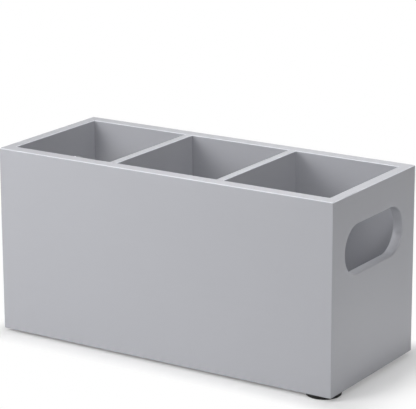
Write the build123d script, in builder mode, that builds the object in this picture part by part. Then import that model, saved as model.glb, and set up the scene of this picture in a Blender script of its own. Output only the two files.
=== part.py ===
from build123d import *

import os

# Silverware caddy: an open-topped painted wooden box with two dividers, a hand slot in each end and
# rubber feet. Millimetres, +X along the length, +Y to the back, +Z up, origin on the surface that the
# feet stand on, under the middle of the box.

# Outside of the wooden box, without its feet
box_length = 260.0
box_depth = 109.0
box_height = 128.5

# Board thicknesses
long_wall = 9.0
end_wall = 7.5
divider_wall = 5.5
base_wall = 6.0

# Sanded edges of the rim and of the outside corners, and the most of a thickness that a round may take
rim_round = 0.5
round_share = 0.45

# Hand slot through each end panel: its ends to the panel's upright edges, and its top to the rim
slot_margin = 16.25
slot_height = 33.0
slot_below_rim = 21.25
slot_round = 1.0

# Rebate round the bottom of the walls, which the base lies in: the board left outside it, and the gap
base_cover = 4.5
base_fit = 0.25

# Stopped housings in the long panels, which the divider tongues slide up into
housing_depth = 3.0
housing_stop = 10.0
housing_fit = 0.2

# Row of dowels in each corner: seat in the end panel, room for glue at the other end, distance from the
# base and from the rim to the nearest dowel
dowel_diameter = 5.0
dowel_length = 20.0
dowel_seat = 4.5
dowel_fit = 0.1
dowel_relief = 1.0
dowel_chamfer = 0.5
dowel_edge = 18.0
dowel_rows = 3

# Brads driven up through the base into the long panels
brad_diameter = 1.4
brad_length = 18.0
brad_head_diameter = 2.8
brad_head_height = 0.8
brad_point = 2.0
brad_fit = 0.1
brad_relief = 0.5

# Rubber foot pads, each on an adhesive disc: the front right one stands out at its corner, the others
# further in under the box
foot_diameter = 23.5
foot_height = 2.5
foot_margin = 8.0
corner_foot_margin = 0.25
foot_round = 0.8
adhesive_height = 0.3
adhesive_margin = 0.75

# Levels
box_floor = foot_height
base_top = box_floor + base_wall
rim_top = box_floor + box_height
slot_middle = rim_top - slot_below_rim - slot_height / 2
housing_top = rim_top - housing_stop

# Plan: the long panels stand between the end panels, and the dividers share the length equally
inner_length = box_length - 2 * end_wall
inner_depth = box_depth - 2 * long_wall
compartment = (inner_length - 2 * divider_wall) / 3
compartment_pitch = compartment + divider_wall
slot_length = box_depth - 2 * slot_margin
base_length = box_length - 2 * base_cover
base_depth = box_depth - 2 * base_cover

# Dowel rows stand on the middle line of the long panels' ends
dowel_line = (box_depth - long_wall) / 2
dowel_rise = (base_top + rim_top) / 2
dowel_pitch = (box_height - base_wall - 2 * dowel_edge) / (dowel_rows - 1)
dowel_hole = (dowel_diameter + dowel_fit) / 2

# Brads stand on the middle of the lap between base and long panel, a pair in each compartment
brad_line = (box_depth - base_cover - long_wall) / 2
brad_hole = (brad_diameter + brad_fit) / 2
brad_places = [
    step * compartment_pitch + side * compartment / 4 for step in (-1, 0, 1) for side in (-1, 1)
]

left, right = -1, 1
front, back = -1, 1
ends = {"left": left, "right": right}
sides = {"front": front, "back": back}


def save(piece, name):
    """Label a finished piece and write it as the node of that name."""
    piece.part.label = name
    export_step(piece.part, f"parts/{name}.step")


def dowel_row(end, side):
    """Plane across a corner joint at the middle of its dowel row, facing out of the long panel's end."""
    middle = (end * inner_length / 2, side * dowel_line, dowel_rise)
    return Plane(origin=middle, x_dir=(0, 0, 1), z_dir=(end, 0, 0))


def long_panel(name, side):
    """Front or back panel: rebated for the base, housed for the dividers, bored for dowels and brads."""
    outer = side * box_depth / 2
    inner = side * inner_depth / 2
    rebate = side * (base_depth / 2 + base_fit)
    outline = [
        (outer, box_floor),
        (outer, rim_top),
        (inner, rim_top),
        (inner, base_top),
        (rebate, base_top),
        (rebate, box_floor),
    ]
    housing_rise = housing_top - base_top
    housing_middle = (base_top + housing_top) / 2
    with BuildPart() as panel:
        with BuildSketch(Plane.YZ):
            with BuildLine():
                Polyline(outline, close=True)
            make_face()
        extrude(amount=inner_length / 2, both=True)
        long_edges = panel.edges().filter_by(Axis.X)
        rim_edges = long_edges.group_by(Axis.Z)[-1]
        bottom_edge = long_edges.group_by(Axis.Y)[0 if side == front else -1].sort_by(Axis.Z)[0]
        fillet([*rim_edges, bottom_edge], min(rim_round, round_share * long_wall))
        with Locations(*[(end * compartment_pitch / 2, inner, housing_middle) for end in ends.values()]):
            Box(
                divider_wall + housing_fit,
                2 * (housing_depth + housing_fit),
                housing_rise,
                mode=Mode.SUBTRACT,
            )
        for end in ends.values():
            with Locations(dowel_row(end, side)):
                with GridLocations(dowel_pitch, 0, dowel_rows, 1):
                    Hole(dowel_hole, depth=dowel_length - dowel_seat + dowel_relief)
        with Locations(*[(place, side * brad_line, base_top) for place in brad_places]):
            Hole(brad_hole, depth=brad_length - base_wall + brad_relief)
    save(panel, name)


def end_panel(name, end):
    """End panel over the ends of the long panels, with its hand slot, base rebate and dowel seats."""
    inner = end * inner_length / 2
    middle = (box_floor + rim_top) / 2
    edge_round = min(rim_round, round_share * end_wall)
    lap = end_wall - base_cover + base_fit
    with BuildPart() as panel:
        with BuildSketch(Plane.YZ.offset(inner)):
            with Locations((0, middle)):
                Rectangle(box_depth, box_height)
        extrude(amount=end * end_wall)
        outer_face = panel.faces().sort_by(Axis.X)[0 if end == left else -1]
        fillet([*outer_face.edges(), *panel.edges().filter_by(Axis.X)], edge_round)
        with BuildSketch(Plane.YZ.offset(inner)):
            with Locations((0, slot_middle)):
                SlotOverall(slot_length, slot_height)
        extrude(amount=end * end_wall, mode=Mode.SUBTRACT)
        broad_faces = panel.faces().filter_by(Axis.X)
        slot_edges = [edge for face in broad_faces for edge in face.inner_wires()[0].edges()]
        fillet(slot_edges, min(slot_round, round_share * end_wall))
        with Locations((inner, 0, (box_floor + base_top) / 2)):
            Box(2 * lap, base_depth + 2 * base_fit, base_wall, mode=Mode.SUBTRACT)
        with BuildSketch(Plane.XZ):
            with Locations((inner + end * edge_round / 2, rim_top - edge_round / 2)):
                Rectangle(edge_round, edge_round)
            with Locations((inner + end * edge_round, rim_top - edge_round)):
                Circle(edge_round, mode=Mode.SUBTRACT)
        extrude(amount=inner_depth / 2, both=True, mode=Mode.SUBTRACT)
        for side in sides.values():
            with Locations(dowel_row(end, side)):
                with GridLocations(dowel_pitch, 0, dowel_rows, 1):
                    Hole(dowel_hole, depth=dowel_seat)
    save(panel, name)


def divider(name, end):
    """Cross divider that stands on the base, with a tongue at each end that stops below the rim."""
    shoulder = inner_depth / 2
    tongue = shoulder + housing_depth
    tongue_top = housing_top - housing_fit
    outline = [
        (-tongue, base_top),
        (tongue, base_top),
        (tongue, tongue_top),
        (shoulder, tongue_top),
        (shoulder, rim_top),
        (-shoulder, rim_top),
        (-shoulder, tongue_top),
        (-tongue, tongue_top),
    ]
    with BuildPart() as panel:
        with BuildSketch(Plane.YZ.offset(end * compartment_pitch / 2)):
            with BuildLine():
                Polyline(outline, close=True)
            make_face()
        extrude(amount=divider_wall / 2, both=True)
        rim_edges = panel.edges().filter_by(Axis.Y).group_by(Axis.Z)[-1]
        fillet(rim_edges, min(rim_round, round_share * divider_wall))
    save(panel, name)


def corner_dowels(name, end, side):
    """Row of dowels across one corner joint, each bottomed in the end panel."""
    with BuildPart() as dowels:
        with Locations(dowel_row(end, side).offset(dowel_seat)):
            with GridLocations(dowel_pitch, 0, dowel_rows, 1):
                Cylinder(dowel_diameter / 2, dowel_length, align=(Align.CENTER, Align.CENTER, Align.MAX))
        chamfer(dowels.edges().filter_by(GeomType.CIRCLE), dowel_chamfer)
    save(dowels, name)


def base_brads(name, side):
    """Row of brads, heads flush with the underside of the base."""
    shank = brad_length - brad_point
    upward = (Align.CENTER, Align.CENTER, Align.MIN)
    with BuildPart() as brads:
        with Locations(*[(place, side * brad_line, box_floor) for place in brad_places]):
            Cylinder(brad_head_diameter / 2, brad_head_height, align=upward)
            Cylinder(brad_diameter / 2, shank, align=upward)
        with Locations(*[(place, side * brad_line, box_floor + shank) for place in brad_places]):
            Cone(brad_diameter / 2, 0, brad_point, align=upward)
    save(brads, name)


def foot(corner, end, side):
    """Rubber pad under one corner and the adhesive disc that holds it to the box."""
    margin = corner_foot_margin if (end, side) == (right, front) else foot_margin
    foot_x = (box_length - foot_diameter) / 2 - margin
    foot_y = (box_depth - foot_diameter) / 2 - margin
    pad_height = foot_height - adhesive_height
    with BuildPart() as pad:
        with BuildSketch():
            with Locations((end * foot_x, side * foot_y)):
                Circle(foot_diameter / 2)
        extrude(amount=pad_height)
        fillet(pad.edges().sort_by(Axis.Z)[0], min(foot_round, round_share * pad_height))
    save(pad, f"{corner}_foot")
    with BuildPart() as disc:
        with BuildSketch(Plane.XY.offset(pad_height)):
            with Locations((end * foot_x, side * foot_y)):
                Circle(foot_diameter / 2 - adhesive_margin)
        extrude(amount=adhesive_height)
    save(disc, f"{corner}_adhesive_disc")


os.makedirs("parts", exist_ok=True)

# Base panel, bored for the brads and recessed for their heads
with BuildPart() as base:
    with BuildSketch(Plane.XY.offset(box_floor)):
        Rectangle(base_length, base_depth)
    extrude(amount=base_wall)
    brad_points = [(place, side * brad_line, box_floor) for place in brad_places for side in sides.values()]
    with Locations(*[Plane(point, z_dir=(0, 0, -1)) for point in brad_points]):
        CounterBoreHole(brad_hole, (brad_head_diameter + brad_fit) / 2, brad_head_height)
save(base, "base_panel")

for side_name, side in sides.items():
    long_panel(f"{side_name}_panel", side)
    base_brads(f"{side_name}_base_brads", side)

for end_name, end in ends.items():
    end_panel(f"{end_name}_end_panel", end)
    divider(f"{end_name}_divider", end)
    for side_name, side in sides.items():
        corner_dowels(f"{side_name}_{end_name}_dowels", end, side)
        foot(f"{side_name}_{end_name}", end, side)
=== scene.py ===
"""Silverware caddy: a grey painted wooden box with two dividers, hand slots and rubber feet.

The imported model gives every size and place, in metres. Each class below makes one finish or one
sub-assembly of the caddy, and the studio classes at the end light it and look at it.
"""

import logging
import math
from dataclasses import dataclass
from enum import Enum
from typing import Any, Optional, Sequence, Union

import bmesh
import bpy
from mathutils import Matrix, Quaternion, Vector


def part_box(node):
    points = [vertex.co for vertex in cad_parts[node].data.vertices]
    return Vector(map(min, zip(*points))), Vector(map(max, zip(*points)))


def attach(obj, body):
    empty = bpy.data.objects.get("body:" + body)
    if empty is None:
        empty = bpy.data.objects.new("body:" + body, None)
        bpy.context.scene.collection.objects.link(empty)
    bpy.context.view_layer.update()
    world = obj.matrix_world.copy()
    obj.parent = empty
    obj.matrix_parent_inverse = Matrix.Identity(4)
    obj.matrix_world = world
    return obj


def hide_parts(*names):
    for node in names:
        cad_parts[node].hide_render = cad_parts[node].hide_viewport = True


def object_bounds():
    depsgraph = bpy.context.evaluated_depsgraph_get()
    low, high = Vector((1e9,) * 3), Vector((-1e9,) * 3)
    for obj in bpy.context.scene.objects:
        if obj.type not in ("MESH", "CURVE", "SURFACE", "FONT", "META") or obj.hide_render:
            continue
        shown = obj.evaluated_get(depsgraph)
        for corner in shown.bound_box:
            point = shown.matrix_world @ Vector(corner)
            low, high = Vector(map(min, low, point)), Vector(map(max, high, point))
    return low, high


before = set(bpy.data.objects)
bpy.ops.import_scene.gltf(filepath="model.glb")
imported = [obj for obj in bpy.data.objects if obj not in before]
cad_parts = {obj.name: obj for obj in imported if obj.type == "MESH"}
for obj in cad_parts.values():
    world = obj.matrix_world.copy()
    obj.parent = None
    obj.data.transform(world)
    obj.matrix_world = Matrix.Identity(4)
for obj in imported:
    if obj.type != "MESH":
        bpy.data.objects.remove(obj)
CAD_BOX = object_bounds()

log = logging.getLogger("caddy")

MM = 0.001
BODY = "root"

Point = tuple[float, float]
Place = tuple[float, float, float]
Colour = tuple[float, float, float]
Cover = tuple[float, float, float, float]

WHITE: Colour = (1.0, 1.0, 1.0)
BLACK: Colour = (0.0, 0.0, 0.0)
ORIGIN: Place = (0.0, 0.0, 0.0)
ALONG_BOX: Place = (1.0, 0.0, 0.0)
UPWARDS: Place = (0.0, 0.0, 1.0)

# Name of the corner attribute that marks the rounded faces of the rim. The paint makes those
# faces lighter, as a painted highlight, and a little smoother.
EASED = "eased"

# A flute of a turned piece has two points on its crest and two in its groove.
FLUTE_POINTS = 4


class Grain(Enum):
    """Direction in which a board's fibres run."""

    ALONG_LENGTH = "length"
    ALONG_DEPTH = "depth"


class Side(Enum):
    """Long side of the box."""

    FRONT = "front"
    BACK = "back"


class End(Enum):
    """Short end of the box."""

    LEFT = "left"
    RIGHT = "right"


class Slot(Enum):
    """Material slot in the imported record."""

    PAINT = "painted_wood"
    RUBBER = "foot_rubber"
    ADHESIVE = "adhesive"
    DOWEL = "dowel_wood"
    STEEL = "brad_steel"


@dataclass(frozen=True)
class CloudNoise:
    """One cloud noise: its cells a metre, its octaves and the share of the finer ones."""

    scale: float
    detail: float
    roughness: float = 0.5


@dataclass(frozen=True)
class Relief:
    """Bump of a surface: the share of it that shows, and its height in metres."""

    strength: float
    depth: float


class Wire:
    """A node's output socket that takes part in Python arithmetic."""

    def __init__(self, graph: "Graph", socket: bpy.types.NodeSocket) -> None:
        """Hold the socket and the graph that its Math nodes go to."""
        self.graph = graph
        self.socket = socket

    def __add__(self, other: "Operand") -> "Wire":
        """Sum of this value and another."""
        return self.graph.math("ADD", self, other)

    def __radd__(self, other: "Operand") -> "Wire":
        """Sum of a number and this value."""
        return self.graph.math("ADD", other, self)

    def __sub__(self, other: "Operand") -> "Wire":
        """This value less another."""
        return self.graph.math("SUBTRACT", self, other)

    def __rsub__(self, other: "Operand") -> "Wire":
        """A number less this value."""
        return self.graph.math("SUBTRACT", other, self)

    def __mul__(self, other: "Operand") -> "Wire":
        """Product of this value and another."""
        return self.graph.math("MULTIPLY", self, other)

    def __rmul__(self, other: "Operand") -> "Wire":
        """Product of a number and this value."""
        return self.graph.math("MULTIPLY", other, self)


Operand = Union[Wire, float]


class Graph:
    """The nodes of one shader or geometry tree, made and linked by socket name."""

    def __init__(self, tree: bpy.types.NodeTree) -> None:
        """Start from an empty tree."""
        self.tree = tree
        tree.nodes.clear()

    def add(
        self,
        kind: str,
        settings: Optional[dict[str, Any]] = None,
        inputs: Optional[dict[Union[str, int], Any]] = None,
        output: str = "",
    ) -> Wire:
        """Make one node.

        Args:
            kind: The node's type.
            settings: The node's own properties, set first. The key "stops" holds a ramp's stops.
            inputs: Values or wires for the input sockets, by name or by number.
            output: Name of the output to return, or nothing for the first one in use.

        Returns:
            The chosen output, or the first input of a node that has no output.
        """
        node = self.tree.nodes.new(kind)
        for name, value in (settings or {}).items():
            if name == "stops":
                self._set_stops(node.color_ramp, value)
            else:
                setattr(node, name, value)
        for name, value in (inputs or {}).items():
            socket = self._find(node.inputs, name)
            if isinstance(value, Wire):
                self.tree.links.new(value.socket, socket)
            else:
                socket.default_value = value
        if not node.outputs:
            return Wire(self, node.inputs[0])
        return Wire(self, self._find(node.outputs, output or 0))

    def math(self, operation: str, first: Operand, second: Operand) -> Wire:
        """Join two values by a Math node."""
        return self.add("ShaderNodeMath", {"operation": operation}, {0: first, 1: second})

    def vector(self, operation: str, *operands: Union[Wire, Place]) -> Wire:
        """Work on vectors by a Vector Math node."""
        inputs = dict(enumerate(operands))
        return self.add("ShaderNodeVectorMath", {"operation": operation}, inputs)

    def mix(self, factor: Operand, first: Union[Wire, Cover], second: Union[Wire, Cover]) -> Wire:
        """Mix two colours by a factor."""
        inputs = {"Factor": factor, "A": first, "B": second}
        return self.add("ShaderNodeMix", {"data_type": "RGBA"}, inputs)

    def noise(self, vector: Wire, cloud: CloudNoise) -> Wire:
        """Cloud noise from 0 to 1 over the coordinates."""
        sizes = {"Scale": cloud.scale, "Detail": cloud.detail, "Roughness": cloud.roughness}
        return self.add("ShaderNodeTexNoise", None, {"Vector": vector, **sizes})

    def place(self) -> Wire:
        """Object coordinates, in metres in the caddy's frame."""
        return self.add("ShaderNodeTexCoord", None, None, "Object")

    def stretched(self, vector: Wire, scale: Place) -> Wire:
        """The coordinates with each axis multiplied by its own scale."""
        return self.add("ShaderNodeMapping", None, {"Vector": vector, "Scale": scale})

    @staticmethod
    def _find(sockets: Sequence[Any], name: Union[str, int]) -> bpy.types.NodeSocket:
        """Look a socket up among those in use.

        Args:
            sockets: A node's inputs or outputs.
            name: The socket's name, or its number among those in use.

        Returns:
            The socket.
        """
        in_use = [socket for socket in sockets if socket.enabled]
        if isinstance(name, int):
            return in_use[name]
        return next(socket for socket in in_use if socket.name == name)

    @staticmethod
    def _set_stops(ramp: bpy.types.ColorRamp, stops: Sequence[tuple[float, Colour]]) -> None:
        """Give a ramp its stops.

        Args:
            ramp: The ramp, which starts with two stops.
            stops: Positions and colours, at least two.
        """
        while len(ramp.elements) < len(stops):
            ramp.elements.new(1.0)
        for element, (position, colour) in zip(ramp.elements, stops):
            element.position = position
            element.color = opaque(colour)


def opaque(colour: Colour, gain: float = 1.0) -> Cover:
    """The colour times a gain, with full cover, as a colour socket takes it."""
    red, green, blue = colour
    return (red * gain, green * gain, blue * gain, 1.0)


def new_surface(name: str) -> tuple[bpy.types.Material, Graph]:
    """Start a material.

    Args:
        name: The material's name.

    Returns:
        The material and the graph of its empty tree.
    """
    material = bpy.data.materials.new(name)
    material.use_nodes = True
    return material, Graph(material.node_tree)


def finish_surface(graph: Graph, inputs: dict[str, Any], height: Wire, relief: Relief) -> None:
    """End a material in one shader with a bump.

    Args:
        graph: The material's graph.
        inputs: The shader's values and wires.
        height: Bump height, from about 0 to 1.
        relief: Strength and depth of the bump.
    """
    sizes = {"Strength": relief.strength, "Distance": relief.depth}
    bump = graph.add("ShaderNodeBump", None, {"Height": height, **sizes})
    shader = graph.add("ShaderNodeBsdfPrincipled", None, {**inputs, "Normal": bump})
    graph.add("ShaderNodeOutputMaterial", None, {"Surface": shader})


@dataclass(frozen=True)
class PaintedWood:
    """Satin grey paint, sprayed over sanded wood whose grain shows through very faintly, with a
    painted highlight along the eased rim edges.
    """

    grain: Grain
    colour: Colour = (0.45, 0.4555, 0.488)
    tone_change: float = 0.018
    cloud_share: float = 0.6
    # Painted highlight: how much lighter the eased rim edges are painted.
    painted_highlight_gain: float = 0.6
    roughness: float = 0.44
    cloud_roughness: float = 0.06
    peel_roughness: float = 0.04
    edge_polish: float = 0.05
    streaks_along: float = 7.0
    streaks_across: float = 260.0
    streak: CloudNoise = CloudNoise(1.0, 3.0, 0.6)
    peel: CloudNoise = CloudNoise(850.0, 1.5)
    cloud: CloudNoise = CloudNoise(26.0, 2.0)
    peel_height: float = 0.7
    streak_height: float = 0.5
    relief: Relief = Relief(0.12, 0.10 * MM)

    def material(self) -> bpy.types.Material:
        """Make the paint.

        Returns:
            The material, whose tone follows the grain and the spray, with a painted highlight on
            the eased edges.
        """
        material, graph = new_surface(f"satin_paint_grain_along_{self.grain.value}")
        place = graph.place()
        cloud = graph.noise(place, self.cloud)
        peel = graph.noise(place, self.peel)
        streaks = graph.noise(graph.stretched(place, self._streak_scale()), self.streak)
        eased = graph.add("ShaderNodeAttribute", {"attribute_name": EASED}, None, "Fac")
        tone = cloud * self.cloud_share + streaks * (1.0 - self.cloud_share)
        dark = opaque(self.colour, 1.0 - self.tone_change)
        light = opaque(self.colour, 1.0 + self.tone_change)
        # Painted highlight: the eased rim edges get the paint's colour made lighter, for the
        # light that they would catch.
        painted_edge_highlight = opaque(self.colour, 1.0 + self.painted_highlight_gain)
        spray = cloud * self.cloud_roughness + peel * self.peel_roughness
        smoothest = self.roughness - (self.cloud_roughness + self.peel_roughness) / 2
        inputs = {
            "Base Color": graph.mix(eased, graph.mix(tone, dark, light), painted_edge_highlight),
            "Roughness": spray - eased * self.edge_polish + smoothest,
        }
        height = peel * self.peel_height + streaks * self.streak_height
        finish_surface(graph, inputs, height, self.relief)
        return material

    def _streak_scale(self) -> Place:
        """Turn the grain streaks the way that the board's fibres run.

        Returns:
            Streaks a metre along X, Y and Z.
        """
        along, across = self.streaks_along, self.streaks_across
        if self.grain is Grain.ALONG_LENGTH:
            return (along, across, across)
        return (across, along, across)


@dataclass(frozen=True)
class FootRubber:
    """Matte black moulded rubber with a fine eroded grain and a little dust in it."""

    dark: Colour = (0.006, 0.006, 0.0065)
    dusty: Colour = (0.018, 0.0175, 0.017)
    specular: float = 0.3
    roughness: float = 0.66
    dust_roughness: float = 0.2
    grain_roughness: float = 0.08
    grain: CloudNoise = CloudNoise(2600.0, 2.0)
    dust: CloudNoise = CloudNoise(180.0, 4.0, 0.6)
    relief: Relief = Relief(0.35, 0.08 * MM)

    def material(self) -> bpy.types.Material:
        """Make the rubber.

        Returns:
            The material.
        """
        material, graph = new_surface("foot_rubber")
        place = graph.place()
        grain = graph.noise(place, self.grain)
        dust = graph.noise(place, self.dust)
        worn = dust * self.dust_roughness + grain * self.grain_roughness
        inputs = {
            "Base Color": graph.mix(dust, opaque(self.dark), opaque(self.dusty)),
            "Roughness": worn + self.roughness,
            "Specular IOR Level": self.specular,
        }
        finish_surface(graph, inputs, grain, self.relief)
        return material


@dataclass(frozen=True)
class AdhesiveFoam:
    """Black closed-cell foam tape, cut to a disc."""

    dark: Colour = (0.018, 0.018, 0.018)
    light: Colour = (0.045, 0.045, 0.045)
    roughness: float = 0.8
    cell_roughness: float = 0.15
    cell_scale: float = 3500.0
    relief: Relief = Relief(0.5, 0.06 * MM)

    def material(self) -> bpy.types.Material:
        """Make the foam.

        Returns:
            The material, pitted with cells.
        """
        material, graph = new_surface("adhesive_foam")
        cell_inputs = {"Vector": graph.place(), "Scale": self.cell_scale}
        cells = graph.add("ShaderNodeTexVoronoi", None, cell_inputs, "Distance")
        inputs = {
            "Base Color": graph.mix(cells, opaque(self.dark), opaque(self.light)),
            "Roughness": cells * self.cell_roughness + self.roughness,
        }
        finish_surface(graph, inputs, cells, self.relief)
        return material


@dataclass(frozen=True)
class BareBeech:
    """Unpainted beech, with its grain along the dowels and short darker flecks."""

    pale: Colour = (0.62, 0.43, 0.26)
    dark: Colour = (0.50, 0.33, 0.19)
    fleck: Colour = (0.36, 0.22, 0.12)
    fleck_start: float = 0.62
    fleck_full: float = 0.72
    fleck_strength: float = 0.6
    roughness: float = 0.62
    grain_roughness: float = 0.15
    grain_scale: Place = (25.0, 900.0, 900.0)
    fleck_scale: Place = (420.0, 2200.0, 2200.0)
    grain: CloudNoise = CloudNoise(1.0, 4.0, 0.6)
    flecks: CloudNoise = CloudNoise(1.0, 1.0)
    relief: Relief = Relief(0.3, 0.06 * MM)

    def material(self) -> bpy.types.Material:
        """Make the beech.

        Returns:
            The material.
        """
        material, graph = new_surface("bare_beech")
        place = graph.place()
        grain = graph.noise(graph.stretched(place, self.grain_scale), self.grain)
        flecks = graph.noise(graph.stretched(place, self.fleck_scale), self.flecks)
        stops = [(self.fleck_start, BLACK), (self.fleck_full, WHITE)]
        spots = graph.add("ShaderNodeValToRGB", {"stops": stops}, {"Fac": flecks})
        wood = graph.mix(grain, opaque(self.pale), opaque(self.dark))
        inputs = {
            "Base Color": graph.mix(spots * self.fleck_strength, wood, opaque(self.fleck)),
            "Roughness": grain * self.grain_roughness + self.roughness,
        }
        finish_surface(graph, inputs, grain, self.relief)
        return material


@dataclass(frozen=True)
class DrawnSteel:
    """Bright drawn wire with fine scratches round and along it."""

    bright: Colour = (0.56, 0.56, 0.57)
    dull: Colour = (0.40, 0.39, 0.38)
    roughness: float = 0.28
    scratch_roughness: float = 0.2
    scratch_scale: Place = (3000.0, 3000.0, 160.0)
    scratch: CloudNoise = CloudNoise(1.0, 3.0, 0.6)
    relief: Relief = Relief(0.25, 0.03 * MM)

    def material(self) -> bpy.types.Material:
        """Make the steel.

        Returns:
            The material.
        """
        material, graph = new_surface("drawn_steel")
        stretched = graph.stretched(graph.place(), self.scratch_scale)
        scratches = graph.noise(stretched, self.scratch)
        inputs = {
            "Base Color": graph.mix(scratches, opaque(self.dull), opaque(self.bright)),
            "Roughness": scratches * self.scratch_roughness + self.roughness,
            "Metallic": 1.0,
        }
        finish_surface(graph, inputs, scratches, self.relief)
        return material


def new_piece(name: str, shape: bmesh.types.BMesh, crease: float) -> bpy.types.Object:
    """Turn a built shape into a smooth-shaded object at the origin.

    Args:
        name: The object's name.
        shape: The built shape, which is freed.
        crease: Angle between faces, in radians, from which an edge stays sharp.

    Returns:
        The object, linked to the scene.
    """
    for face in shape.faces:
        face.smooth = True
    for edge in shape.edges:
        edge.smooth = edge.is_manifold and edge.calc_face_angle(math.pi) < crease
    mesh = bpy.data.meshes.new(name)
    shape.to_mesh(mesh)
    shape.free()
    piece = bpy.data.objects.new(name, mesh)
    bpy.context.scene.collection.objects.link(piece)
    return piece


def settle(piece: bpy.types.Object, node: str) -> None:
    """Let a finished piece ride on the caddy in place of its CAD node.

    Args:
        piece: The finished piece.
        node: The CAD node that it stands for.
    """
    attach(piece, BODY)
    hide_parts(node)
    log.info("%s stands for %s with %d faces", piece.name, node, len(piece.data.polygons))


@dataclass
class PaintedBoard:
    """One board of the box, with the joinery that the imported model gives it."""

    node: str
    grain: Grain
    merge_distance: float = 0.002 * MM
    flat_limit: float = math.radians(0.05)
    crease: float = math.radians(32.0)
    rim_depth: float = 0.6 * MM
    flat_share: float = 0.9995

    def build(self) -> bpy.types.Object:
        """Copy the board's mesh, merge it and mark the eased edges of its rim.

        Returns:
            The board, with even normals across its flats.
        """
        shape = bmesh.new()
        shape.from_mesh(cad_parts[self.node].data)
        bmesh.ops.remove_doubles(shape, verts=shape.verts, dist=self.merge_distance)
        bmesh.ops.dissolve_limit(
            shape,
            angle_limit=self.flat_limit,
            verts=shape.verts,
            edges=shape.edges,
            delimit={"NORMAL"},
        )
        self._mark_eased(shape)
        board = new_piece(f"{self.node}_painted", shape, self.crease)
        modifier = board.modifiers.new("even_normals", "WEIGHTED_NORMAL")
        modifier.keep_sharp = True
        return board

    def dress(self, board: bpy.types.Object, paint: bpy.types.Material) -> None:
        """Paint the board and put it in the caddy."""
        board.data.materials.append(paint)
        settle(board, self.node)

    def _mark_eased(self, shape: bmesh.types.BMesh) -> None:
        """Store 1 on the corners of each rounded face at the rim, and 0 on the others. The paint
        puts its painted highlight where this is 1.

        Args:
            shape: The merged board.
        """
        layer = shape.loops.layers.float.new(EASED)
        rim = max(vert.co.z for vert in shape.verts) - self.rim_depth
        for face in shape.faces:
            rounded = max(abs(part) for part in face.normal) < self.flat_share
            at_rim = min(vert.co.z for vert in face.verts) > rim
            for loop in face.loops:
                loop[layer] = 1.0 if rounded and at_rim else 0.0


def lathe(profile: Sequence[Point], sides: int, flute: float = 0.0) -> bmesh.types.BMesh:
    """Turn a profile about Z.

    Args:
        profile: Points of radius and height, from the pole below to the pole above.
        sides: Number of points in each ring.
        flute: Depth of the grooves along the sides.

    Returns:
        The closed shape, its faces outwards.
    """
    shape = bmesh.new()
    rings = []
    for radius, height in profile:
        count = sides if radius > 0 else 1
        ring = []
        for step in range(count):
            angle = math.tau * step / sides
            in_groove = step % FLUTE_POINTS >= FLUTE_POINTS // 2
            reach = radius - (flute if in_groove else 0.0)
            corner = (reach * math.cos(angle), reach * math.sin(angle), height)
            ring.append(shape.verts.new(corner))
        rings.append(ring)
    for below, above in zip(rings, rings[1:]):
        for step in range(sides):
            following = (step + 1) % sides
            corners = [below[step % len(below)], below[following % len(below)]]
            corners += [above[following % len(above)], above[step % len(above)]]
            shape.faces.new(list(dict.fromkeys(corners)))
    bmesh.ops.recalc_face_normals(shape, faces=shape.faces)
    return shape


def arc(centre: Point, radius: float, start: float, end: float, steps: int) -> list[Point]:
    """Points of an arc in a profile.

    Args:
        centre: Middle of the arc, as radius and height.
        radius: The arc's own radius.
        start: First angle in degrees, from the outward direction.
        end: Last angle in degrees.
        steps: Number of chords.

    Returns:
        The arc's points, with both ends.
    """
    points = []
    for step in range(steps + 1):
        angle = math.radians(start + (end - start) * step / steps)
        reach = centre[0] + radius * math.cos(angle)
        points.append((reach, centre[1] + radius * math.sin(angle)))
    return points


@dataclass(frozen=True)
class Row:
    """Places of a row's pieces: equal groups along one line, and equal pieces in each group."""

    start: Place
    spin_axis: Place
    seed: int
    groups: int = 1
    group_step: Place = ORIGIN
    each: int = 1
    each_step: Place = ORIGIN


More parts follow.
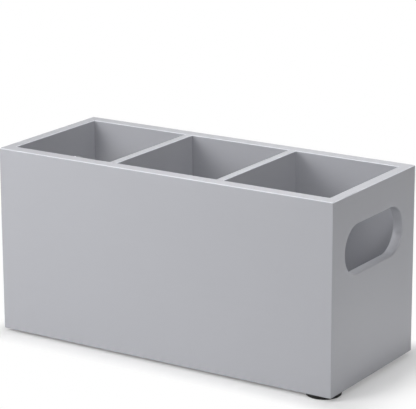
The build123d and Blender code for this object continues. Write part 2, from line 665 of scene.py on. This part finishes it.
class RowTree:
    """Geometry Nodes tree that sets one piece out in equal groups along a straight row."""

    INPUTS = {
        "Piece": "NodeSocketObject",
        "Start": "NodeSocketVector",
        "Groups": "NodeSocketInt",
        "Group Step": "NodeSocketVector",
        "Each": "NodeSocketInt",
        "Each Step": "NodeSocketVector",
        "Spin Axis": "NodeSocketVector",
        "Seed": "NodeSocketInt",
        "Finish": "NodeSocketMaterial",
    }

    def __init__(self) -> None:
        """Build the tree with its named inputs."""
        self.tree = bpy.data.node_groups.new("row_of_pieces", "GeometryNodeTree")
        graph = Graph(self.tree)
        interface = self.tree.interface
        interface.new_socket("Geometry", in_out="OUTPUT", socket_type="NodeSocketGeometry")
        self.identifiers = {
            name: interface.new_socket(name, in_out="INPUT", socket_type=kind).identifier
            for name, kind in self.INPUTS.items()
        }
        given = {name: graph.add("NodeGroupInput", None, None, name) for name in self.INPUTS}
        copies = self._copies(graph, given, self._places(graph, given))
        row = graph.add("GeometryNodeRealizeInstances", None, {"Geometry": copies})
        dressing = {"Geometry": row, "Material": given["Finish"]}
        finished = graph.add("GeometryNodeSetMaterial", None, dressing)
        graph.add("NodeGroupOutput", None, {"Geometry": finished})

    def grow(
        self, name: str, master: bpy.types.Object, finish: bpy.types.Material, row: Row
    ) -> bpy.types.Object:
        """Set out one row and make it a plain mesh.

        Args:
            name: The new object's name.
            master: The piece that is set out, which is removed.
            finish: The row's finish.
            row: The places of its pieces.

        Returns:
            The row, at the origin and with no modifier.
        """
        values = {
            "Piece": master,
            "Start": row.start,
            "Groups": row.groups,
            "Group Step": row.group_step,
            "Each": row.each,
            "Each Step": row.each_step,
            "Spin Axis": row.spin_axis,
            "Seed": row.seed,
            "Finish": finish,
        }
        grown = bpy.data.objects.new(name, bpy.data.meshes.new(name))
        bpy.context.scene.collection.objects.link(grown)
        modifier = grown.modifiers.new(self.tree.name, "NODES")
        modifier.node_group = self.tree
        for key, value in values.items():
            modifier[self.identifiers[key]] = value
        depsgraph = bpy.context.evaluated_depsgraph_get()
        evaluated = grown.evaluated_get(depsgraph)
        mesh = bpy.data.meshes.new_from_object(evaluated, depsgraph=depsgraph)
        grown.modifiers.remove(modifier)
        grown.data = mesh
        mesh.name = name
        bpy.data.objects.remove(master)
        return grown

    @staticmethod
    def _places(graph: Graph, given: dict[str, Wire]) -> Wire:
        """Set out the points of the row.

        Args:
            graph: The tree's graph.
            given: The tree's inputs, by name.

        Returns:
            One point for each piece.
        """
        groups = graph.add(
            "GeometryNodeMeshLine",
            {"mode": "OFFSET"},
            {
                "Count": given["Groups"],
                "Start Location": given["Start"],
                "Offset": given["Group Step"],
            },
        )
        each = graph.add(
            "GeometryNodeMeshLine",
            {"mode": "OFFSET"},
            {"Count": given["Each"], "Offset": given["Each Step"]},
        )
        instances = {"Points": groups, "Instance": each}
        grouped = graph.add("GeometryNodeInstanceOnPoints", None, instances)
        return graph.add("GeometryNodeRealizeInstances", None, {"Geometry": grouped})

    @staticmethod
    def _copies(graph: Graph, given: dict[str, Wire], places: Wire) -> Wire:
        """Put the piece on each point, turned about its own axis at random.

        Args:
            graph: The tree's graph.
            given: The tree's inputs, by name.
            places: The points.

        Returns:
            The piece's instances.
        """
        turn = graph.add(
            "FunctionNodeRandomValue",
            {"data_type": "FLOAT"},
            {"Min": 0.0, "Max": math.tau, "Seed": given["Seed"]},
        )
        turning = {"Axis": given["Spin Axis"], "Angle": turn}
        spin = graph.add("FunctionNodeAxisAngleToRotation", None, turning)
        source = {"Object": given["Piece"]}
        piece = graph.add("GeometryNodeObjectInfo", None, source, "Geometry")
        instances = {"Points": places, "Instance": piece, "Rotation": spin}
        return graph.add("GeometryNodeInstanceOnPoints", None, instances)


@dataclass
class FootPad:
    """Rubber pad under one corner, with a parting line and grip rings, on its foam disc."""

    side: Side
    end: End
    sides: int = 96
    edge_round: float = 0.8 * MM
    edge_steps: int = 6
    parting_height: float = 1.5 * MM
    parting_step: float = 0.08 * MM
    hollow_radius: float = 5.0 * MM
    hollow_depth: float = 0.5 * MM
    ring_pitch: float = 1.6 * MM
    ring_depth: float = 0.25 * MM
    rings: int = 3
    disc_height_to_bulge: float = 3.0
    crease: float = math.radians(40.0)
    seed: int = 1

    def build(self, rows: RowTree, rubber: bpy.types.Material, foam: bpy.types.Material) -> None:
        """Make the pad and its disc and put them in the caddy.

        Args:
            rows: The tree that sets pieces out.
            rubber: The pad's finish.
            foam: The disc's finish.
        """
        corner = f"{self.side.value}_{self.end.value}"
        pad_node = f"{corner}_foot"
        pad_profile = self._pad_profile(pad_node)
        pad = self._turned(rows, f"{corner}_foot_pad", pad_node, pad_profile, rubber)
        settle(pad, pad_node)
        disc_node = f"{corner}_adhesive_disc"
        disc_profile = self._disc_profile(disc_node)
        disc = self._turned(rows, f"{corner}_foam_disc", disc_node, disc_profile, foam)
        settle(disc, disc_node)

    def _turned(
        self,
        rows: RowTree,
        name: str,
        node: str,
        profile: Sequence[Point],
        finish: bpy.types.Material,
    ) -> bpy.types.Object:
        """Turn one profile and set it at the middle of its node.

        Args:
            rows: The tree that sets pieces out.
            name: The new piece's name.
            node: The CAD node that gives the place.
            profile: The profile, with heights from the node's underside.
            finish: The piece's finish.

        Returns:
            The piece.
        """
        low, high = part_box(node)
        master = new_piece(f"{name}_master", lathe(profile, self.sides), self.crease)
        start = ((low.x + high.x) / 2, (low.y + high.y) / 2, low.z)
        return rows.grow(name, master, finish, Row(start, UPWARDS, self.seed))

    def _pad_profile(self, node: str) -> list[Point]:
        """Draw the pad: hollow and rings below, a round edge, and a parting line on the side.

        Args:
            node: The CAD node that gives the size.

        Returns:
            The profile's points.
        """
        low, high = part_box(node)
        radius = (high.x - low.x) / 2
        height = high.z - low.z
        step = self.parting_step
        side = radius - step
        first = self.hollow_radius + self.hollow_depth
        profile = [(0.0, self.hollow_depth), (self.hollow_radius, self.hollow_depth)]
        profile.append((first, 0.0))
        for ring in range(1, self.rings + 1):
            middle = first + ring * self.ring_pitch - self.ring_pitch / 2
            profile += [(middle - self.ring_depth, 0.0), (middle, self.ring_depth)]
            profile.append((middle + self.ring_depth, 0.0))
        edge_centre = (side - self.edge_round, self.edge_round)
        profile += arc(edge_centre, self.edge_round, -90.0, 0.0, self.edge_steps)
        parting = self.parting_height
        profile += [(side, parting - step), (radius, parting), (side, parting + step)]
        profile += [(side, height - step), (side - step, height), (0.0, height)]
        return profile

    def _disc_profile(self, node: str) -> list[Point]:
        """Draw the disc, whose cut edge bulges a little.

        Args:
            node: The CAD node that gives the size.

        Returns:
            The profile's points.
        """
        low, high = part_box(node)
        radius = (high.x - low.x) / 2
        height = high.z - low.z
        neck = radius - height / self.disc_height_to_bulge
        return [(0.0, 0.0), (neck, 0.0), (radius, height / 2), (neck, height), (0.0, height)]


@dataclass
class CornerDowels:
    """Row of fluted beech dowels across one corner joint."""

    side: Side
    end: End
    count: int = 3
    flutes: int = 20
    flute_depth: float = 0.14 * MM
    chamfer: float = 0.5 * MM
    crease: float = math.radians(35.0)
    seed: int = 7

    def build(self, rows: RowTree, beech: bpy.types.Material) -> None:
        """Make the row and put it in the caddy.

        Args:
            rows: The tree that sets pieces out.
            beech: The dowels' finish.
        """
        corner = f"{self.side.value}_{self.end.value}"
        node = f"{corner}_dowels"
        low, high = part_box(node)
        radius = (high.y - low.y) / 2
        profile = self._profile(radius, high.x - low.x)
        shape = lathe(profile, FLUTE_POINTS * self.flutes, self.flute_depth)
        lying = Matrix.Rotation(math.radians(90.0), 4, "Y")
        bmesh.ops.transform(shape, matrix=lying, verts=shape.verts)
        master = new_piece(f"{node}_master", shape, self.crease)
        pitch = (high.z - low.z - 2 * radius) / (self.count - 1)
        places = Row(
            start=(low.x, (low.y + high.y) / 2, low.z + radius),
            spin_axis=ALONG_BOX,
            seed=self.seed,
            groups=self.count,
            group_step=(0.0, 0.0, pitch),
        )
        row = rows.grow(f"{corner}_fluted_dowels", master, beech, places)
        settle(row, node)

    def _profile(self, radius: float, length: float) -> list[Point]:
        """Draw one dowel, with both ends chamfered.

        Args:
            radius: Radius over the crests of the flutes.
            length: Length from end to end.

        Returns:
            The profile's points.
        """
        neck = radius - self.chamfer
        profile = [(0.0, 0.0), (neck, 0.0), (radius, self.chamfer)]
        profile += [(radius, length - self.chamfer), (neck, length), (0.0, length)]
        return profile


@dataclass
class BaseBrads:
    """Row of ringed steel brads that hold the base, a pair to each compartment."""

    side: Side
    compartments: int = 3
    per_compartment: int = 2
    sides: int = 24
    head_height: float = 0.8 * MM
    head_ease: float = 0.15 * MM
    shank_radius: float = 0.7 * MM
    point: float = 2.0 * MM
    ring_pitch: float = 0.6 * MM
    ring_depth: float = 0.06 * MM
    rings: int = 8
    crease: float = math.radians(35.0)
    seed: int = 3

    def build(self, rows: RowTree, steel: bpy.types.Material) -> None:
        """Make the row and put it in the caddy.

        Args:
            rows: The tree that sets pieces out.
            steel: The brads' finish.
        """
        node = f"{self.side.value}_base_brads"
        low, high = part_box(node)
        head_radius = (high.y - low.y) / 2
        shape = lathe(self._profile(head_radius, high.z - low.z), self.sides)
        master = new_piece(f"{node}_master", shape, self.crease)
        divider_low, divider_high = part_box("left_divider")
        pitch = 2 * abs(divider_low.lerp(divider_high, 0.5).x)
        first = low.x + head_radius
        spread = high.x - head_radius - first - (self.compartments - 1) * pitch
        places = Row(
            start=(first, (low.y + high.y) / 2, low.z),
            spin_axis=UPWARDS,
            seed=self.seed,
            groups=self.compartments,
            group_step=(pitch, 0.0, 0.0),
            each=self.per_compartment,
            each_step=(spread, 0.0, 0.0),
        )
        row = rows.grow(f"{self.side.value}_brad_row", master, steel, places)
        settle(row, node)

    def _profile(self, head: float, length: float) -> list[Point]:
        """Draw one brad: eased head, rings under it, plain shank and point.

        Args:
            head: Radius of the head.
            length: Length from the head's face to the point.

        Returns:
            The profile's points.
        """
        shank = self.shank_radius
        profile = [(0.0, 0.0), (head - self.head_ease, 0.0), (head, self.head_ease)]
        profile += [(head, self.head_height), (shank, self.head_height)]
        for ring in range(self.rings):
            foot = self.head_height + self.ring_pitch * (ring + 0.5)
            profile += [(shank, foot), (shank - self.ring_depth, foot + self.ring_pitch / 4)]
            profile.append((shank, foot + self.ring_pitch / 2))
        profile += [(shank, length - self.point), (0.0, length)]
        return profile


def eye_rays(graph: Graph) -> Wire:
    """Tell the rays that see the room from those that carry its light.

    Args:
        graph: The graph of a stage material or of the world.

    Returns:
        1 for rays from the camera, from a gloss or through glass, and 0 for the others.
    """
    kinds = ("Is Camera Ray", "Is Glossy Ray", "Is Transmission Ray")
    rays = [graph.add("ShaderNodeLightPath", None, None, kind) for kind in kinds]
    either = graph.math("MAXIMUM", rays[0], rays[1])
    return graph.math("MAXIMUM", either, rays[2])


@dataclass
class Floor:
    """Pale floor that keeps the caddy's shadow near it. To the eye it has painted light: a faint
    white glow lifts that shadow, and plain white fades in beyond it and cuts the shadow off.
    """

    half: float = 6.0
    bounce: Colour = (0.74, 0.74, 0.74)
    seen: Colour = (0.97, 0.97, 0.97)
    # Painted light: the share of plain white that the eye sees over the shadow next to the caddy.
    painted_shadow_lift: float = 0.18
    fade_start: float = 8.0 * MM
    fade_end: float = 50.0 * MM
    # Gains on the distance for each side: the larger, the sooner the painted white cuts the
    # shadow off.
    right_back_gains: Place = (1.0, 1.8, 1.0)
    left_front_gains: Place = (3.0, 2.4, 1.0)

    def build(self) -> None:
        """Make the floor."""
        shape = bmesh.new()
        bmesh.ops.create_grid(shape, x_segments=1, y_segments=1, size=self.half)
        floor = new_piece("floor", shape, math.pi)
        floor.data.materials.append(self._material())

    def _material(self) -> bpy.types.Material:
        """Make the floor's paper.

        Returns:
            The material: matt near the caddy under a faint painted white glow to the eye, and
                painted plain white to the eye away from it.
        """
        material, graph = new_surface("floor_paper")
        eye = eye_rays(graph)
        # Painted light: to the eye a white glow lifts the shadow near the caddy and turns the
        # floor plain white with distance, which cuts the shadow off.
        far = graph.add(
            "ShaderNodeMapRange",
            {"interpolation_type": "SMOOTHSTEP"},
            {
                "Value": self._distance(graph),
                "From Min": self.fade_start,
                "From Max": self.fade_end,
                "To Min": self.painted_shadow_lift,
            },
        )
        tone = graph.mix(eye, opaque(self.bounce), opaque(self.seen))
        paper = graph.add("ShaderNodeBsdfDiffuse", None, {"Color": tone})
        white = graph.add("ShaderNodeEmission", None, {"Color": opaque(WHITE), "Strength": 1.0})
        mixed = graph.add("ShaderNodeMixShader", None, {0: eye * far, 1: paper, 2: white})
        graph.add("ShaderNodeOutputMaterial", None, {"Surface": mixed})
        return material

    def _distance(self, graph: Graph) -> Wire:
        """Measure how far each point of the floor lies from the caddy's footprint.

        Args:
            graph: The floor's graph.

        Returns:
            The distance in metres, 0 under the caddy, with each side's own gain, so that the
            painted white cuts the shadow off sooner on some sides.
        """
        low, high = CAD_BOX
        place = graph.place()
        past_high = graph.vector("SUBTRACT", place, tuple(high))
        past_low = graph.vector("SUBTRACT", tuple(low), place)
        high_sides = graph.vector("MULTIPLY", past_high, self.right_back_gains)
        low_sides = graph.vector("MULTIPLY", past_low, self.left_front_gains)
        beyond = graph.vector("MAXIMUM", high_sides, low_sides)
        return graph.vector("LENGTH", graph.vector("MAXIMUM", beyond, ORIGIN))


@dataclass
class SoftBox:
    """One studio lamp, turned to a point, with its size in metres and its beam in degrees."""

    name: str
    place: Place
    aim: Place
    size: Point
    power: float
    beam: float = 180.0

    def build(self) -> None:
        """Hang the lamp."""
        lamp = bpy.data.lights.new(self.name, "AREA")
        lamp.shape = "RECTANGLE"
        lamp.size, lamp.size_y = self.size
        lamp.energy = self.power
        lamp.spread = math.radians(self.beam)
        holder = bpy.data.objects.new(self.name, lamp)
        holder.location = self.place
        towards = Vector(self.aim) - Vector(self.place)
        holder.rotation_euler = towards.to_track_quat("-Z", "Y").to_euler()
        holder.visible_camera = False
        bpy.context.scene.collection.objects.link(holder)


@dataclass
class WhiteRoom:
    """White surroundings: a soft dome of light that the eye sees as plain white."""

    strength: float = 0.12

    def build(self) -> None:
        """Make the world."""
        world = bpy.data.worlds.new("white_room")
        world.use_nodes = True
        graph = Graph(world.node_tree)
        strength = eye_rays(graph) * (1.0 - self.strength) + self.strength
        inputs = {"Color": opaque(WHITE), "Strength": strength}
        sky = graph.add("ShaderNodeBackground", None, inputs)
        graph.add("ShaderNodeOutputWorld", None, {"Surface": sky})
        bpy.context.scene.world = world


@dataclass
class Viewpoint:
    """The photograph's viewpoint: a long lens above the rim, off the front right corner."""

    lens: float = 182.97
    azimuth: float = 32.8904
    elevation: float = 15.6493
    roll: float = -0.1955
    distance: float = 1.42
    aim: Place = (0.0016, 0.0025, 0.0973)

    def build(self) -> None:
        """Set the camera up."""
        data = bpy.data.cameras.new("viewpoint")
        data.lens = self.lens
        camera = bpy.data.objects.new("viewpoint", data)
        around, above = math.radians(self.azimuth), math.radians(self.elevation)
        level = math.cos(above)
        back = Vector((math.sin(around) * level, -math.cos(around) * level, math.sin(above)))
        camera.location = Vector(self.aim) + back * self.distance
        rolled = Quaternion(UPWARDS, math.radians(self.roll))
        camera.rotation_euler = ((-back).to_track_quat("-Z", "Y") @ rolled).to_euler()
        bpy.context.scene.collection.objects.link(camera)
        bpy.context.scene.camera = camera


BOARDS = [
    PaintedBoard("front_panel", Grain.ALONG_LENGTH),
    PaintedBoard("back_panel", Grain.ALONG_LENGTH),
    PaintedBoard("base_panel", Grain.ALONG_LENGTH),
    PaintedBoard("left_end_panel", Grain.ALONG_DEPTH),
    PaintedBoard("right_end_panel", Grain.ALONG_DEPTH),
    PaintedBoard("left_divider", Grain.ALONG_DEPTH),
    PaintedBoard("right_divider", Grain.ALONG_DEPTH),
]

CADDY_MIDDLE: Place = (0.0, 0.0, 0.08)
RIGHT_END_FOOT: Place = (0.13, -0.02, 0.03)
RIM_RIGHT: Place = (0.08, 0.0, 0.1)
ABOVE_FLOOR_CARD: Place = (0.27, 0.06, 1.0)

# The rear card lights the back alone, and the floor card lifts the foot of the right end.
LAMPS = [
    SoftBox("key", (-0.363, -0.628, 0.418), CADDY_MIDDLE, size=(0.4, 0.4), power=3.57),
    SoftBox("front", (0.0, -0.55, 1.26), CADDY_MIDDLE, size=(0.5, 0.5), power=3.0),
    SoftBox(
        "right_fill",
        (1.02, -0.59, 0.63),
        RIGHT_END_FOOT,
        size=(0.5, 0.5),
        power=0.195,
        beam=30.0,
    ),
    SoftBox("overhead", (0.08, 0.0, 0.45), RIM_RIGHT, size=(0.1, 0.1), power=0.346),
    SoftBox("back", (-0.147, 0.836, 0.929), CADDY_MIDDLE, size=(1.0, 0.6), power=3.99),
    SoftBox("rear_card", (0.0, 0.8, 0.06), CADDY_MIDDLE, size=(0.24, 0.1), power=0.7),
    SoftBox("floor_card", (0.27, 0.06, 0.002), ABOVE_FLOOR_CARD, size=(0.25, 0.2), power=0.04),
]


def main() -> None:
    """Build the boards, the fasteners and feet, then the studio."""
    logging.basicConfig(level=logging.INFO, format="%(name)s: %(message)s")
    bpy.context.scene.view_settings.view_transform = "Standard"
    paints = {grain: PaintedWood(grain).material() for grain in Grain}
    for board in BOARDS:
        board.dress(board.build(), paints[board.grain])
    rows = RowTree()
    rubber, foam = FootRubber().material(), AdhesiveFoam().material()
    beech, steel = BareBeech().material(), DrawnSteel().material()
    for side in Side:
        BaseBrads(side).build(rows, steel)
        for end in End:
            CornerDowels(side, end).build(rows, beech)
            FootPad(side, end).build(rows, rubber, foam)
    Floor().build()
    WhiteRoom().build()
    for lamp in LAMPS:
        lamp.build()
    Viewpoint().build()


if __name__ == "__main__":
    main()
